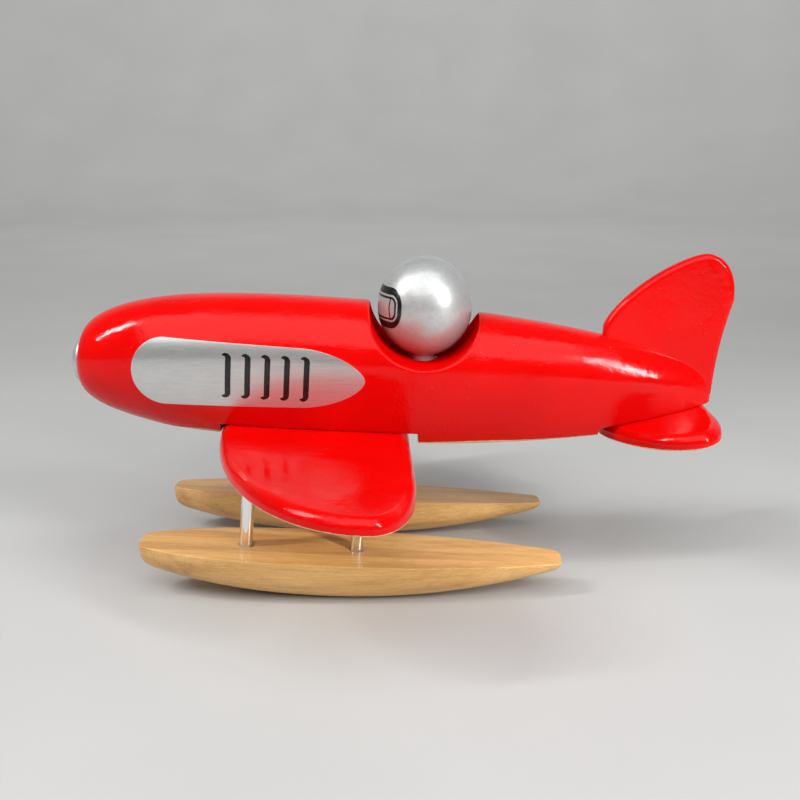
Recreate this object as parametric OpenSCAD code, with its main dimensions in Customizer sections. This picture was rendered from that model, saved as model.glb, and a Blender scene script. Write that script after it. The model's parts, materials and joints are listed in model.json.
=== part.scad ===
// Wooden toy seaplane: a lacquered body with a ball-headed pilot, a board wing let into the
// belly, a stabilizer and a fin, and two varnished floats hung from the wing on steel rods.
//
// Everything is drawn in the craft's own frame: x = 0 on the pilot's axis with the nose
// towards -X, y = 0 on the centre plane, z = 0 on the flat belly. stand() then tips the craft
// back by its stance, lifts it onto the floor at z = 0 and centres its length on x = 0.

/* [Fuselage] */
// Distance of the nose joint in front of the pilot
nose_reach = 140.4; // [135:0.1:145]
// Distance of the tail end behind the pilot
tail_reach = 122; // [121:1:123]
// Height of the crown over the belly
crown_height = 55.9; // [54:0.1:58]
// Distance of the crown in front of the pilot
crown_reach = 56; // [45:1:65]
// Greatest half width of the body
body_half_width = 24.5; // [23:0.5:27]
// Share of the half width that the flat belly keeps
belly_share = 0.7; // [0.6:0.01:0.8]
// Rise of the belly from the wing to the tail rebate
belly_rise = 5.1; // [3:0.1:6]
// Height of the tail end over the belly
tail_height = 24.5; // [22:0.5:25]

/* [Nose cap] */
// Radius of the nose joint
cap_radius = 10; // [9:0.5:11]
// Height of the nose axis over the belly
cap_height = 25.3; // [24:0.1:27]
// Height of the cap's dome
cap_dome = 4.2; // [3:0.1:5]
// Radius of the spigot behind the cap
spigot_radius = 4; // [3:0.5:5]
// Length of the spigot
spigot_length = 10; // [8:1:14]

/* [Cockpit and pilot] */
// Radius of the round cut across the body
cockpit_radius = 22.6; // [22:0.1:23.2]
// Height of that cut's axis over the belly
cockpit_height = 54.8; // [54:0.1:56]
// Half width of the pilot's head
head_radius = 19.4; // [18:0.1:20]
// Half height of the pilot's head
head_half_height = 20.6; // [19:0.1:21]
// Height of the head's centre over the belly
head_height = 54; // [53.5:0.1:55]
// Radius of the neck peg
neck_radius = 5.5; // [4.5:0.1:6]
// Radial clearance that lets the peg turn in the body
neck_clearance = 0.08; // [0.03:0.01:0.1]
// Length of the peg inside the body
neck_depth = 14; // [10:1:16]
// Length of the peg inside the head
neck_socket = 12; // [8:1:16]

/* [Boards] */
// Thickness of the wing, stabilizer and fin
board = 6; // [5:0.5:6]
// Radius of the wing's and stabilizer's upper edges
board_round = 4.2; // [3:0.1:4.5]
// Radius of both edges of the fin
fin_round = 2.5; // [1.5:0.1:2.8]

/* [Wing] */
// Depth of the slot for the wing in the belly
slot_depth = 4.5; // [3.5:0.1:5]
// Distance of the slot's front wall in front of the pilot
slot_front = 81.5; // [80:0.5:83]
// Distance of the slot's rear wall in front of the pilot
slot_rear = 0.5; // [0:0.5:2]
// Half span of the wing
half_span = 114; // [105:1:120]

/* [Stabilizer] */
// Distance of the tail rebate behind the pilot
rebate_x = 74; // [72:0.5:75]
// Height of the rebate's front edge over the belly
rebate_z = 8.2; // [7.5:0.1:9]
// Slope of the rebate
rebate_slope = 12.5; // [11:0.5:13]
// Half span of the stabilizer
tail_half_span = 40; // [36:1:44]

/* [Floats] */
// Length of a float
float_length = 169.4; // [160:0.2:175]
// Greatest width of a deck
float_width = 32; // [30:1:36]
// Width of a deck at its tips
float_tip_width = 11.5; // [9:0.5:14]
// Depth of a float at its deepest
float_depth = 18.7; // [16:0.1:20]
// Distance of the floats' middle in front of the pilot
float_reach = 25.5; // [22:0.5:28]
// Distance of the keel's deepest place in front of the pilot
keel_reach = 35.5; // [25:0.1:40]
// Distance between the floats' centre lines
float_track = 66.6; // [60:0.2:72]
// Depth of the decks below the belly
deck_drop = 40.2; // [36:0.2:44]
// Outward lean of each float and its rods
float_cant = 4; // [0:0.5:6]

/* [Rods] */
// Radius of a rod
rod_radius = 2.65; // [2:0.05:3]
// Distance of the front rods in front of the pilot
rod_front = 68; // [64:0.5:70]
// Distance of the rear rods in front of the pilot
rod_rear = 23.4; // [20:0.2:30]
// Forward lean of the rods' feet
rod_rake = 3; // [0:0.5:5]
// Depth of a rod in its float
rod_in_float = 10; // [6:0.5:12]
// Depth of a rod in the wing
rod_in_wing = 4.2; // [3:0.1:4.5]

/* [Stance] */
// Angle by which the craft stands nose up on its rockered keels
stance = 2.6; // [2:0.1:3.2]
// Depth of the small flat that is sanded under each keel
keel_flat = 0.15; // [0.1:0.05:0.3]

/* [Hidden] */
left = -1;
right = 1;
red = [0.85, 0.02, 0.01];
silver = [0.72, 0.72, 0.72];
chrome = [0.86, 0.87, 0.88];
zinc = [0.62, 0.62, 0.60];
varnished = [0.76, 0.55, 0.30];
round_steps = 64;
reach = 1;               // how far a cutting tool runs past the surface it opens

// Wing outline, in the craft's frame
wing_lead_root = -81.3;
wing_tip_x = -20;
wing_trail_root = -4.6;
wing_corner_x = -1.9;
wing_corner_y = 72;
wing_top = slot_depth;
wing_powers = [2, 2, 2.4];        // of the leading half and of the tip corner, 2 is an ellipse

// Stabilizer outline, along the slope of its rebate
tail_lead_root = 1.5;
tail_tip_x = 33.4;
tail_trail_root = 47.4;
tail_corner_x = 46.9;
tail_corner_y = 14;
tail_powers = [1.8, 1.4, 2.2];

// Fin outline, in the craft's frame
fin_front = 74;
fin_lead_z = 49;
fin_top_x = 113.2;
fin_top_z = 80.5;
fin_rear_x = 126.3;
fin_rear_z = 62;
fin_foot_x = 122.6;
fin_foot_z = 26;
groove_front_z = 39.5;
groove_slope = atan((groove_front_z - fin_foot_z) / (fin_foot_x - fin_front));
fin_bow = 1.2;           // how far the straight trailing edge hollows

// Screws: shank radius, head radius, head height, length, and place of each
wing_screw = [1.75, 3.5, 2.4, 22];
tail_screw = [1.5, 3, 2, 14];
wing_screw_x = [-62, -20];
tail_screw_x = [15, 34];
recess_width = 0.9;
recess_depth = 1.2;

rod_chamfer = 1;         // width and depth of the bare countersink round each rod
keel_curve = 0.0017;     // the keel falls away by this much times the distance squared
tip_length = 6;          // length over which a float's tip is rounded underneath
tip_share = 0.35;        // share of the depth that this takes off
chine = 2.6;             // power of the float's section, 2 is a half ellipse
rod_above_deck = (deck_drop + wing_top - board + rod_in_wing) / cos(float_cant) / cos(rod_rake);

// ---------- shared curves and solids ----------

function clamp(v) = max(0, min(1, v));

// A quarter of a superellipse, from (0, height) at t = 0 to (width, 0) at t = 90
function arc_point(width, height, px, pz, t) =
    [width * pow(sin(t), 2 / px), height * pow(cos(t), 2 / pz)];

// Skin over a row of rings that all have the same number of points and that run clockwise
// as seen from the end of the row
module loft(rings) {
    n = len(rings[0]);
    last = len(rings) - 1;
    points = [for (ring = rings) each ring];
    sides = [for (i = [0 : last - 1], j = [0 : n - 1], half = [0, 1])
        let (a = i * n + j, b = i * n + (j + 1) % n)
        half == 0 ? [a, b, b + n] : [a, b + n, a + n]];
    ends = [[for (j = [n - 1 : -1 : 0]) j], [for (j = [0 : n - 1]) last * n + j]];
    polyhedron(points, concat(sides, ends), convexity = 8);
}

// Clockwise outline moved inwards by d, point by point along its own normals
function inset(outline, d) = [for (i = [0 : len(outline) - 1])
    let (n = len(outline), run = outline[(i + 1) % n] - outline[(i + n - 1) % n])
    outline[i] + d * [run[1], -run[0]] / norm(run)];

// Board with its upper edge rounded by r, drawn from a clockwise outline
module rounded_board(outline, thick, r) {
    steps = 5;
    rim = [for (k = [0 : steps]) let (a = 90 * k / steps) [r * (1 - cos(a)), thick - r + r * sin(a)]];
    levels = concat([[0, 0]], rim);
    loft([for (level = levels) [for (p = inset(outline, level[0])) [p[0], p[1], level[1]]]]);
}

// Half of a wing's outline on the +Y side, from the leading root to the trailing root
function half_wing(lead, tip, corner, trail, power) = concat(
    [for (t = [90 : -4.5 : 1]) let (p = arc_point(tip[0] - lead, tip[1], power[0], power[1], t))
        [tip[0] - p[0], p[1]]],
    [for (t = [0 : 7.5 : 90])
        let (p = arc_point(corner[0] - tip[0], tip[1] - corner[1], power[2], power[2], t))
        [tip[0] + p[0], corner[1] + p[1]]],
    [[trail, 0]]);

// Whole outline, clockwise from above, with the two points on the centre line once each
function whole_wing(half) = concat(half, [for (i = [len(half) - 2 : -1 : 1]) [half[i][0], -half[i][1]]]);

// ---------- the craft's stance on the floor ----------

function tipped(p) = [p[0] * cos(stance) + p[2] * sin(stance), p[1], p[2] * cos(stance) - p[0] * sin(stance)];

function keel_depth(x) = let (
    from_tip = float_length / 2 - abs(x + float_reach),
    rounding = 1 - sqrt(1 - pow(1 - clamp(from_tip / tip_length), 2)))
    (float_depth - keel_curve * pow(x + keel_reach, 2)) * (1 - tip_share * rounding);

function deck_half_width(x) = let (s = (x + float_reach) / (float_length / 2))
    (float_tip_width + (float_width - float_tip_width) * (1 - pow(abs(s), s < 0 ? 3.5 : 2))) / 2;

// Section of a float below its deck, in the float's own frame
function float_ring(x) = [for (t = [0 : 10 : 180])
    let (c = cos(t), w = deck_half_width(x))
    [x, w * sign(c) * pow(abs(c), 2 / chine), -keel_depth(x) * pow(sin(t), 2 / chine)]];

// Float's frame to the craft's frame, for the lean and place of the float on one side
function on_float(p, side) = [p[0],
    side * float_track / 2 + p[1] * cos(float_cant) + side * p[2] * sin(float_cant),
    -deck_drop - side * p[1] * sin(float_cant) + p[2] * cos(float_cant)];

keel_low = min([for (x = [-60 : 1 : 20]) each [for (p = float_ring(x)) tipped(on_float(p, right))[2]]]);
lift = -keel_low - keel_flat;
nose_tip = tipped([-nose_reach - cap_dome, 0, cap_height])[0];
fin_tip = tipped([fin_rear_x, 0, fin_rear_z])[0];
centring = -(nose_tip + fin_tip) / 2;

module stand() {
    translate([centring, 0, lift]) rotate([0, stance, 0]) children();
}

module floor_cut() {
    translate([-200, -200, -20]) cube([400, 400, 20]);
}

// ---------- fuselage ----------

function nose_growth(x) = pow(1 - pow(1 - clamp((x + nose_reach) / (nose_reach - crown_reach)), 2.75), 1 / 2);

function body_top(x) = let (along = clamp((x + crown_reach) / (tail_reach + crown_reach)))
    x < -crown_reach
    ? cap_height + cap_radius + (crown_height - cap_height - cap_radius) * nose_growth(x)
    : tail_height + (crown_height - tail_height) * sqrt(1 - pow(along, 1.87));

function body_bottom(x) = let (
    chin_length = 42,
    chin = pow(1 - pow(1 - clamp((x + nose_reach) / chin_length), 1.8), 1 / 1.8),
    aft = max(0, x - 3) / (rebate_x - 4))
    (cap_height - cap_radius) * (1 - chin) + belly_rise * pow(aft, 1.5);

function body_width(x) = let (waist = -18, aft = clamp((x - waist) / (tail_reach - waist)))
    x < waist
    ? cap_radius + (body_half_width - cap_radius) * nose_growth(x)
    : body_half_width * pow(1 - pow(aft, 1.8), 1 / 1.6);

function belly_width(x) = let (
    flat_start = -115,
    flat_full = -45,
    u = clamp((x - flat_start) / (flat_full - flat_start)))
    belly_share * body_width(x) * sqrt(1 - pow(1 - u, 2));

// Half ellipse over the widest line, and flanks that close in to the flat belly under it
function body_ring(x) = let (
    top = body_top(x),
    bottom = body_bottom(x),
    w = body_width(x),
    middle = bottom + (top - bottom) * (0.5 + 0.07 * nose_growth(x)),
    turn = acos(belly_width(x) / w),
    drop = (middle - bottom) / sin(turn))
    concat(
        [for (t = [-90 : 7.5 : 90]) [x, w * sin(t), middle + (top - middle) * cos(t)]],
        [for (k = [1 : 9]) [x, w * cos(turn * k / 9), middle - drop * sin(turn * k / 9)]],
        [for (k = [9 : -1 : 1]) [x, -w * cos(turn * k / 9), middle - drop * sin(turn * k / 9)]]);

nose_stations = [for (k = [0 : 22]) -nose_reach + (nose_reach - crown_reach) * (1 - cos(90 * k / 22))];
tail_stations = [for (k = [1 : 34]) -crown_reach + (tail_reach + crown_reach) * sin(86.5 * k / 34)];

module tail_rebate() {
    translate([rebate_x, -40, rebate_z]) rotate([0, -rebate_slope, 0])
        translate([0, 0, -30]) cube([80, 80, 30]);
    translate([rebate_x, -40, -10]) cube([10, 80, 10 + rebate_z]);
}

// Straight cut that slopes down towards the tail, as deep as the groove for the fin
module under_groove() {
    translate([fin_front, -20, groove_front_z]) rotate([0, groove_slope, 0])
        translate([-20, 0, -60]) cube([120, 40, 60]);
}

module fin_groove() difference() {
    translate([fin_front, -board / 2, 0]) cube([60, board, 70]);
    under_groove();
}

module fuselage() color(red) stand() difference() {
    loft([for (x = concat(nose_stations, tail_stations)) body_ring(x)]);
    translate([-slot_front, -40, -reach]) cube([slot_front - slot_rear, 80, slot_depth + reach]);
    tail_rebate();
    fin_groove();
    translate([0, 40, cockpit_height]) rotate([90, 0, 0]) cylinder(h = 80, r = cockpit_radius, $fn = 96);
    neck_bore();
    translate([-nose_reach - reach, 0, cap_height]) rotate([0, 90, 0])
        cylinder(h = spigot_length + reach, r = spigot_radius, $fn = round_steps);
    wing_screw_shanks();
    tail_screw_shanks();
}

module neck_bore() {
    gap_below = 0.5;
    cockpit_floor = cockpit_height - cockpit_radius;
    translate([0, 0, cockpit_floor - neck_depth - gap_below])
        cylinder(h = neck_depth + gap_below + 6, r = neck_radius + neck_clearance, $fn = round_steps);
}

module nose_cap() color(silver) stand() translate([-nose_reach, 0, cap_height]) rotate([0, -90, 0]) {
    dome = [for (a = [90 : -7.5 : 0]) [cap_radius * sin(a), cap_dome * cos(a)]];
    rotate_extrude($fn = round_steps)
        polygon(concat([[0, -spigot_length], [spigot_radius, -spigot_length], [spigot_radius, 0]], dome));
}

// ---------- pilot ----------

module pilot_head() color(silver) stand() difference() {
    translate([0, 0, head_height]) rotate_extrude($fn = 96)
        polygon([for (t = [-90 : 5 : 90]) [head_radius * cos(t), head_half_height * sin(t)]]);
    translate([0, 0, head_height - head_half_height - reach])
        cylinder(h = neck_socket + reach, r = neck_radius, $fn = round_steps);
}

module neck_peg() color(silver) stand() {
    foot = cockpit_height - cockpit_radius - neck_depth;
    translate([0, 0, foot])
        cylinder(h = head_height - head_half_height + neck_socket - foot, r = neck_radius, $fn = round_steps);
}

// ---------- boards ----------

module wing() color(red) stand() difference() {
    translate([0, 0, wing_top - board])
        rounded_board(whole_wing(half_wing(wing_lead_root, [wing_tip_x, half_span],
            [wing_corner_x, wing_corner_y], wing_trail_root, wing_powers)), board, board_round);
    for (side = [left, right], x = [-rod_front, -rod_rear]) rod_axis(side, x) rod_shape();
    wing_screw_shanks();
    wing_screw_heads();
}

module on_rebate() {
    translate([rebate_x, 0, rebate_z]) rotate([0, -rebate_slope, 0]) children();
}

module stabilizer() color(red) stand() difference() {
    on_rebate() translate([0, 0, -board])
        rounded_board(whole_wing(half_wing(tail_lead_root, [tail_tip_x, tail_half_span],
            [tail_corner_x, tail_corner_y], tail_trail_root, tail_powers)), board, board_round);
    tail_screw_shanks();
    tail_screw_heads();
}

function groove_floor(x) = groove_front_z - (x - fin_front) * tan(groove_slope);

// Side view of the fin, clockwise from the front foot to the rear foot
function fin_outline() = concat(
    [[fin_front, groove_front_z]],
    [for (t = [90 : -5 : 0]) let (p = arc_point(fin_top_x - fin_front, fin_top_z - fin_lead_z, 1.38, 1.38, t))
        [fin_top_x - p[0], fin_lead_z + p[1]]],
    [for (t = [7.5 : 7.5 : 90]) let (p = arc_point(fin_rear_x - fin_top_x, fin_top_z - fin_rear_z, 2.2, 2.2, t))
        [fin_top_x + p[0], fin_rear_z + p[1]]],
    [for (k = [5 : -1 : 0]) let (u = k / 6)
        [fin_foot_x + (fin_rear_x - fin_foot_x) * u - fin_bow * sin(180 * u),
            fin_foot_z + (fin_rear_z - fin_foot_z) * u]]);

// One level of the fin's rounded edges, d in from the outline, with the two feet kept on the groove
function fin_level(d, y) = let (flat = inset(fin_outline(), d), last = len(flat) - 1)
    [for (i = [0 : last]) [flat[i][0], y, i == 0 || i == last ? groove_floor(flat[i][0]) : flat[i][1]]];

module fin() color(red) stand() {
    steps = 4;
    near = [for (k = [0 : steps]) let (a = 90 * k / steps)
        [fin_round * (1 - sin(a)), board / 2 - fin_round * (1 - cos(a))]];
    far = [for (k = [steps : -1 : 0]) [near[k][0], -near[k][1]]];
    loft([for (level = concat(near, far)) fin_level(level[0], level[1])]);
}

// ---------- floats and rods ----------

module on_float_frame(side) {
    translate([0, side * float_track / 2, -deck_drop]) rotate([-side * float_cant, 0, 0]) children();
}

module rod_axis(side, x) {
    on_float_frame(side) translate([x, 0, 0]) rotate([0, rod_rake, 0]) children();
}

module rod_shape() {
    translate([0, 0, -rod_in_float])
        cylinder(h = rod_in_float + rod_above_deck, r = rod_radius, $fn = round_steps);
}

module one_float(side) color(varnished) difference() {
    stand() difference() {
        on_float_frame(side) loft([for (k = [0 : 40])
            let (x = -float_reach - float_length / 2 * cos(180 * k / 40)) float_ring(x)]);
        for (x = [-rod_front, -rod_rear]) rod_axis(side, x) {
            rod_shape();
            translate([0, 0, -rod_chamfer])
                cylinder(h = 2 * rod_chamfer, r1 = rod_radius, r2 = rod_radius + 2 * rod_chamfer,
                    $fn = round_steps);
        }
    }
    floor_cut();
}

module float_left() one_float(left);
module float_right() one_float(right);

module strut(side, x) color(chrome) stand() rod_axis(side, x) rod_shape();

module strut_front_left() strut(left, -rod_front);
module strut_rear_left() strut(left, -rod_rear);
module strut_front_right() strut(right, -rod_front);
module strut_rear_right() strut(right, -rod_rear);

// ---------- screws ----------

// Each screw stands head down with its face at z = 0
module shank(size) {
    cylinder(h = size[3], r = size[0], $fn = round_steps);
}

module countersunk_head(size) {
    cylinder(h = size[2], r1 = size[1], r2 = size[0], $fn = round_steps);
}

module screw(size) difference() {
    union() {
        shank(size);
        countersunk_head(size);
    }
    for (turn = [0, 90]) rotate([0, 0, turn])
        translate([-size[0], -recess_width / 2, -reach])
            cube([2 * size[0], recess_width, reach + recess_depth]);
}

module at_wing_screws() {
    for (x = wing_screw_x) translate([x, 0, wing_top - board]) children();
}

module at_tail_screws() {
    on_rebate() for (x = tail_screw_x) translate([x, 0, -board]) children();
}

module wing_screw_shanks() at_wing_screws() shank(wing_screw);
module wing_screw_heads() at_wing_screws() countersunk_head(wing_screw);
module tail_screw_shanks() at_tail_screws() shank(tail_screw);
module tail_screw_heads() at_tail_screws() countersunk_head(tail_screw);

module wing_screws() color(zinc) stand() at_wing_screws() screw(wing_screw);
module stabilizer_screws() color(zinc) stand() at_tail_screws() screw(tail_screw);

fuselage();
nose_cap();
wing();
stabilizer();
fin();
pilot_head();
neck_peg();
float_left();
float_right();
strut_front_left();
strut_rear_left();
strut_front_right();
strut_rear_right();
wing_screws();
stabilizer_screws();
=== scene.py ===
"""Looks of the wooden toy seaplane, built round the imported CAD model.

Shapes are drawn in millimetres in the craft's own frame: x = 0 on the pilot's axis with the nose
towards -X, y = 0 on the centre plane, z = 0 on the flat belly. CRAFT carries that frame to the
row frame in metres, and is worked out from the pilot's joint.
"""
import json
import math

import bmesh
import bpy
import numpy as np
from mathutils import Matrix, Vector


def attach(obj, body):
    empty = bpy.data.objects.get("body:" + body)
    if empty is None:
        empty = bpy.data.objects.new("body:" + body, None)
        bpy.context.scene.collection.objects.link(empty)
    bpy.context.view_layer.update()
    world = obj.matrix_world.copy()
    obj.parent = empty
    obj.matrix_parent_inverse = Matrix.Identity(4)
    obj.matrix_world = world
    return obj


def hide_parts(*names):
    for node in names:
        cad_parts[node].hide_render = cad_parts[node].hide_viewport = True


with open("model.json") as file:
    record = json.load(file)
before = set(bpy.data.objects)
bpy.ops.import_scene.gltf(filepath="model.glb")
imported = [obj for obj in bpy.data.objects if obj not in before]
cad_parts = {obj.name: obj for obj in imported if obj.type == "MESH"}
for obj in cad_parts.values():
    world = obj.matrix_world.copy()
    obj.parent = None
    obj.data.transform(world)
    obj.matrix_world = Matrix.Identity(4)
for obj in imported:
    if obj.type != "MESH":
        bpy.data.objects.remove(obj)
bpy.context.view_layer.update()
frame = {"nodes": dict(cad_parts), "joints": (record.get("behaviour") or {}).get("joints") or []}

# ---------- the craft's frame ----------

MM = 0.001
AIRFRAME, PILOT = "airframe", "pilot"
LEFT, RIGHT = -1, 1
SIDE_NAME = {LEFT: "left", RIGHT: "right"}

pilot_joint = frame["joints"][0]
JOINT_ABOVE_BELLY = 40
up = Vector(pilot_joint["axis"]).normalized()
stance = math.atan2(up.x, up.z)
belly_point = Vector(pilot_joint["pos_m"]) - up * JOINT_ABOVE_BELLY * MM
CRAFT = Matrix.Translation(belly_point) @ Matrix.Rotation(stance, 4, "Y") @ Matrix.Scale(MM, 4)


# ---------- driving dimensions, in millimetres ----------

NOSE_REACH, TAIL_REACH = 140.4, 122
CROWN_HEIGHT, CROWN_REACH = 55.9, 56
BODY_HALF_WIDTH, BELLY_SHARE, BELLY_RISE, TAIL_HEIGHT = 24.5, 0.7, 5.1, 24.5
CAP_RADIUS, CAP_HEIGHT, CAP_DOME = 10, 25.3, 4.2
COCKPIT_RADIUS, COCKPIT_HEIGHT = 22.6, 54.8
HEAD_RADIUS, HEAD_HALF_HEIGHT, HEAD_HEIGHT = 19.4, 20.6, 54
NECK_RADIUS, NECK_CLEARANCE, NECK_DEPTH, NECK_SOCKET = 5.5, 0.08, 14, 12
BOARD, BOARD_ROUND, FIN_ROUND = 6, 4.2, 2.5
SLOT_DEPTH, SLOT_FRONT, SLOT_REAR, HALF_SPAN = 4.5, 81.5, 0.5, 114
REBATE_X, REBATE_Z, REBATE_SLOPE, TAIL_HALF_SPAN = 74, 8.2, math.radians(12.5), 40
FLOAT_LENGTH, FLOAT_WIDTH, FLOAT_TIP_WIDTH, FLOAT_DEPTH = 169.4, 32, 11.5, 18.7
FLOAT_REACH, KEEL_REACH, FLOAT_TRACK, DECK_DROP = 25.5, 35.5, 66.6, 40.2
FLOAT_CANT, ROD_RAKE = math.radians(4), math.radians(3)
ROD_RADIUS, ROD_FRONT, ROD_REAR, ROD_IN_FLOAT, ROD_IN_WING = 2.65, 68, 23.4, 10, 4.2
KEEL_CURVE, TIP_LENGTH, TIP_SHARE, CHINE = 0.0017, 6, 0.35, 2.6
WING_SCREW_X, TAIL_SCREW_X = (-62, -20), (15, 34)
CHIN_LENGTH, FLAT_START, FLAT_GROWTH = 42, -125, 80
EDGE_ROUND, TAIL_ROUND, COCKPIT_ROUND, CUT_ROUND, TAIL_OVERRUN = 0.6, 2.2, 1.4, 0.5, 0.3
LOUVRES, LOUVRE_FRONT, LOUVRE_PITCH, LOUVRE_DROP = 5, -76.8, 7.75, 0.05
CAMERA_ELEVATION, CAMERA_DISTANCE_M = math.radians(15), 0.4254
CAMERA_LENS, CAMERA_AIM = 45.45, (-8.4, 0, 13.5)


# ---------- materials ----------

def new_material(name):
    """An empty node material and a short way to add nodes to it."""
    material = bpy.data.materials.new(name)
    material.use_nodes = True
    tree = material.node_tree
    shader = tree.nodes["Principled BSDF"]

    def add(kind, links=(), **settings):
        node = tree.nodes.new(kind)
        for key, value in settings.items():
            if hasattr(node, key):
                setattr(node, key, value)
            else:
                node.inputs[key.replace("_", " ")].default_value = value
        for socket, source in dict(links).items():
            tree.links.new(source, node.inputs[socket])
        return node

    return material, shader, add


def stretched_noise(add, where, stretch, detail=3.0, roughness=0.5, distortion=0.0):
    """Noise over the object's own coordinates; stretch holds the cells per metre along X, Y and Z."""
    mapping = add("ShaderNodeMapping", {"Vector": where})
    mapping.inputs["Scale"].default_value = stretch
    noise = add("ShaderNodeTexNoise", {"Vector": mapping.outputs[0]}, Scale=1.0)
    noise.inputs["Detail"].default_value = detail
    noise.inputs["Roughness"].default_value = roughness
    noise.inputs["Distortion"].default_value = distortion
    return noise.outputs["Fac"]


def ramp(add, source, stops):
    """Colour ramp from (place, colour) pairs."""
    node = add("ShaderNodeValToRGB", {"Fac": source})
    elements = node.color_ramp.elements
    while len(elements) < len(stops):
        elements.new(0.5)
    for element, (place, colour) in zip(elements, stops):
        element.position = place
        element.color = (*colour, 1)
    return node.outputs["Color"]


def math_node(add, operation, a, b, clamp=False):
    node = add("ShaderNodeMath", operation=operation, use_clamp=clamp)
    for socket, value in zip(node.inputs, (a, b)):
        if isinstance(value, (int, float)):
            socket.default_value = value
        else:
            link(node, socket, value)
    return node.outputs[0]


def link(node, socket, source):
    node.id_data.links.new(source, socket)


def mixed(add, factor, a, b):
    """Colour mix of two colours or sockets."""
    node = add("ShaderNodeMix", data_type="RGBA")
    link(node, node.inputs[0], factor)
    for socket, value in zip((node.inputs[6], node.inputs[7]), (a, b)):
        if isinstance(value, tuple):
            socket.default_value = (*value, 1)
        else:
            link(node, socket, value)
    return node.outputs[2]


def ranged(add, source, low, high, from_low=0.0, from_high=1.0):
    node = add("ShaderNodeMapRange", {"Value": source})
    node.inputs["From Min"].default_value = from_low
    node.inputs["From Max"].default_value = from_high
    node.inputs["To Min"].default_value = low
    node.inputs["To Max"].default_value = high
    return node.outputs[0]


def bumped(add, shader, heights):
    """Chain of bumps: (height socket, strength, distance in metres)."""
    normal = None
    for height, strength, distance in heights:
        node = add("ShaderNodeBump", {"Height": height}, Strength=strength, Distance=distance)
        if normal is not None:
            link(node, node.inputs["Normal"], normal)
        normal = node.outputs[0]
    link(shader, shader.inputs["Normal"], normal)


def wood_colours(add, where, dark, middle, light):
    """Lengthwise grain: broad growth bands, fine fibres and short pores."""
    bands = stretched_noise(add, where, (9, 150, 110), detail=3, roughness=0.55, distortion=0.6)
    fibres = stretched_noise(add, where, (55, 1500, 1500), detail=4, roughness=0.65)
    pores = stretched_noise(add, where, (320, 3600, 3600), detail=1)
    banded = ramp(add, bands, [(0.3, dark), (0.5, middle), (0.72, light)])
    fibred = ramp(add, fibres, [(0.3, (0.72, 0.68, 0.62)), (0.62, (1, 1, 1))])
    pored = ramp(add, pores, [(0.30, (0.62, 0.52, 0.42)), (0.40, (1, 1, 1))])
    colour = banded
    for layer, strength in ((fibred, 0.75), (pored, 0.45)):
        node = add("ShaderNodeMix", data_type="RGBA", blend_type="MULTIPLY")
        node.inputs[0].default_value = strength
        link(node, node.inputs[6], colour)
        link(node, node.inputs[7], layer)
        colour = node.outputs[2]
    return colour, fibres


def lacquer_material(name, specular):
    """Red lacquer with orange peel, worn through to bare wood where the vertices' paint value,
    a distance from the edge of the paint in millimetres, falls under zero."""
    material, shader, add = new_material(name)
    where = add("ShaderNodeTexCoord").outputs["Object"]
    paint = add("ShaderNodeAttribute", attribute_name="paint").outputs["Fac"]
    ragged = stretched_noise(add, where, (700, 700, 700), detail=3)
    edge = math_node(add, "ADD", paint, ranged(add, ragged, -0.28, 0.28))
    coat = ranged(add, edge, 0, 1, -0.03, 0.03)
    depth = stretched_noise(add, where, (26, 26, 26), detail=2)
    red = ramp(add, depth, [(0.3, (0.60, 0.0008, 0.0008)), (0.7, (0.70, 0.0016, 0.0012))])
    # pale pink specks painted into the red stand in for glints of light on the orange peel
    specks = stretched_noise(add, where, (900, 900, 900), detail=1)
    painted_glints = ramp(add, specks, [(0.775, (0, 0, 0)), (0.81, (0.4, 0.4, 0.4))])
    red = mixed(add, painted_glints, red, (0.84, 0.16, 0.14))
    wood, fibres = wood_colours(add, where, (0.60, 0.42, 0.24), (0.68, 0.50, 0.31), (0.75, 0.58, 0.38))
    link(shader, shader.inputs["Base Color"], mixed(add, coat, wood, red))
    smear = stretched_noise(add, where, (60, 90, 90), detail=3)
    gloss = ranged(add, smear, 0.07, 0.15, 0.3, 0.7)
    rough = add("ShaderNodeMix", data_type="FLOAT")
    link(rough, rough.inputs[0], coat)
    rough.inputs[2].default_value = 0.62
    link(rough, rough.inputs[3], gloss)
    link(shader, shader.inputs["Roughness"], rough.outputs[0])
    shader.inputs["IOR"].default_value = 1.5
    shader.inputs["Specular IOR Level"].default_value = specular
    peel = stretched_noise(add, where, (620, 620, 620), detail=1.5, roughness=0.5)
    patches = ranged(add, stretched_noise(add, where, (40, 55, 55), detail=2), 0, 1, 0.44, 0.6)
    fine = math_node(add, "MULTIPLY", stretched_noise(add, where, (1250, 1250, 1250), detail=2), patches)
    ridges = stretched_noise(add, where, (70, 420, 420), detail=2)
    waves = stretched_noise(add, where, (75, 95, 95), detail=2)
    bumped(add, shader, [
        (waves, 0.13, 0.0012), (ridges, 0.16, 0.0003), (peel, 0.20, 0.0003), (fine, 0.8, 0.0002),
        (fibres, 0.03, 0.0002)])
    return material


def wood_material(name, dark, middle, light, roughness, coat):
    material, shader, add = new_material(name)
    where = add("ShaderNodeTexCoord").outputs["Object"]
    colour, fibres = wood_colours(add, where, dark, middle, light)
    link(shader, shader.inputs["Base Color"], colour)
    link(shader, shader.inputs["Roughness"], ranged(add, fibres, roughness - 0.06, roughness + 0.1, 0.3, 0.7))
    shader.inputs["Coat Weight"].default_value = coat
    shader.inputs["Coat Roughness"].default_value = 0.22
    bumped(add, shader, [(fibres, 0.16, 0.0002)])
    return material


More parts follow.
